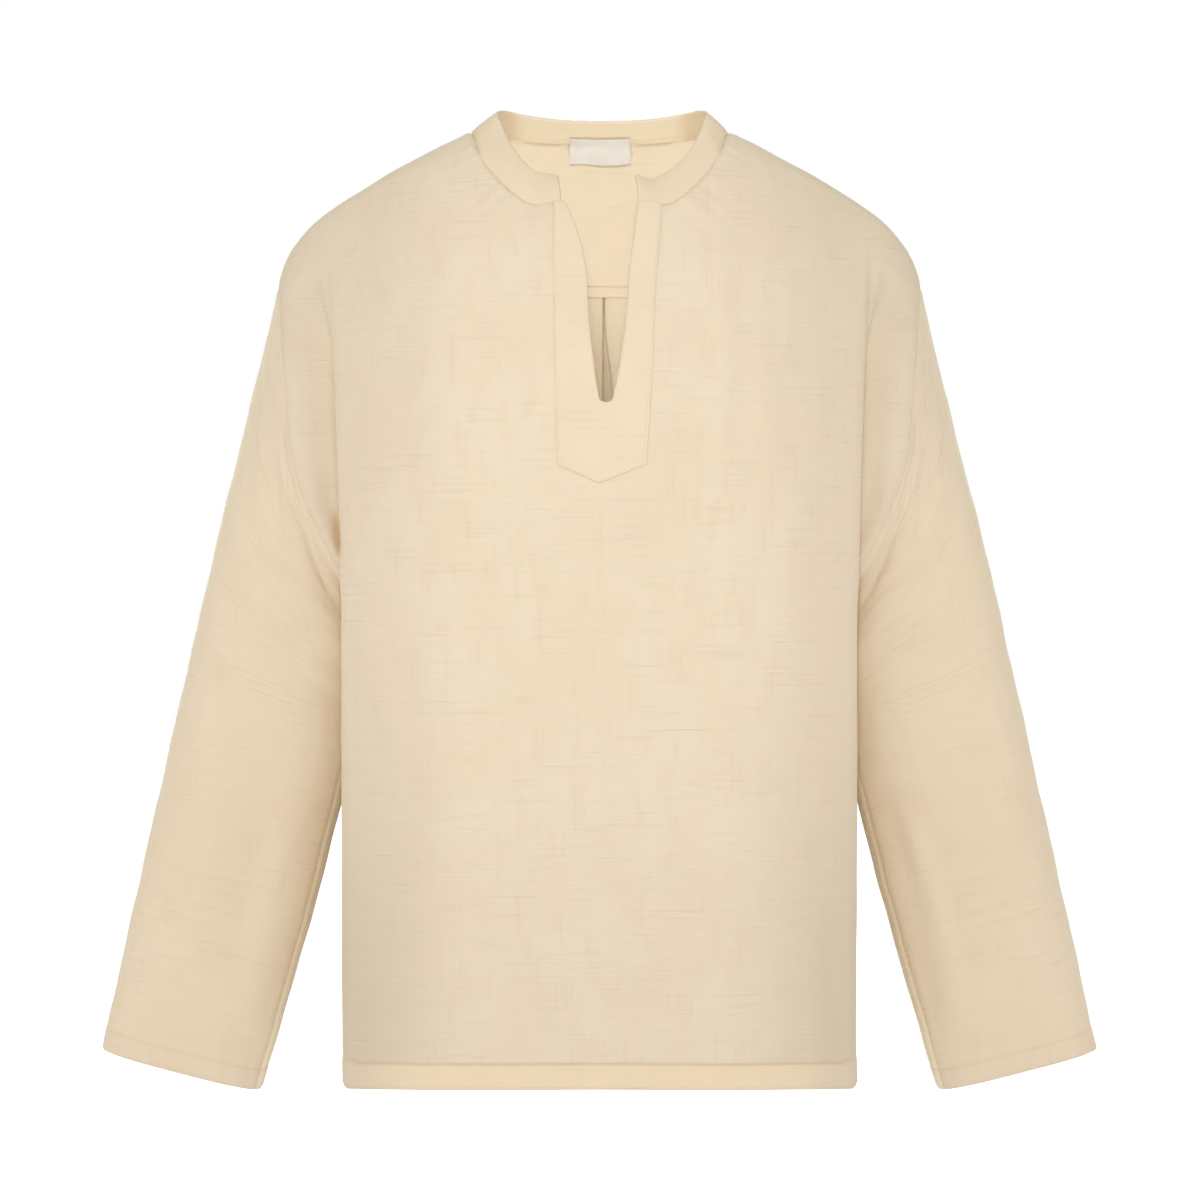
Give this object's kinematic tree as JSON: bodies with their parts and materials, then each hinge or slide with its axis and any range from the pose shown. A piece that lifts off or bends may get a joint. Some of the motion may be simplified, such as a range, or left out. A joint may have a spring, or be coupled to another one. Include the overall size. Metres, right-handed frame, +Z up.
{
  "type": "tunic",
  "caption": "Pull-on tunic with long sleeves, a band collar, a V slit with a pointed facing and a pleated back, filled out and hollow as worn.",
  "frame": {"origin": "midway between the two side-neck points, where the shoulder seams meet the collar", "axes": "+Z up, the front faces -Y, +X toward the wearer's left sleeve"},
  "size_m": [0.7642, 0.2466, 0.7558],
  "materials": {
    "front_cloth": "crinkled cream cotton gauze",
    "back_cloth": "crinkled cream cotton gauze",
    "back_yoke_cloth": "crinkled cream cotton gauze",
    "sleeve_right_cloth": "crinkled cream cotton gauze",
    "sleeve_left_cloth": "crinkled cream cotton gauze",
    "collar_band_cloth": "doubled and pressed cotton gauze",
    "placket_facing_cloth": "doubled and pressed cotton gauze",
    "neck_label_cloth": "bare off-white woven tape"
  },
  "bodies": {
    "root": {"front": "front_cloth", "back": "back_cloth", "back_yoke": "back_yoke_cloth", "sleeve_right": "sleeve_right_cloth", "sleeve_left": "sleeve_left_cloth", "collar_band": "collar_band_cloth", "placket_facing": "placket_facing_cloth", "neck_label": "neck_label_cloth"}
  },
  "joints": []
}
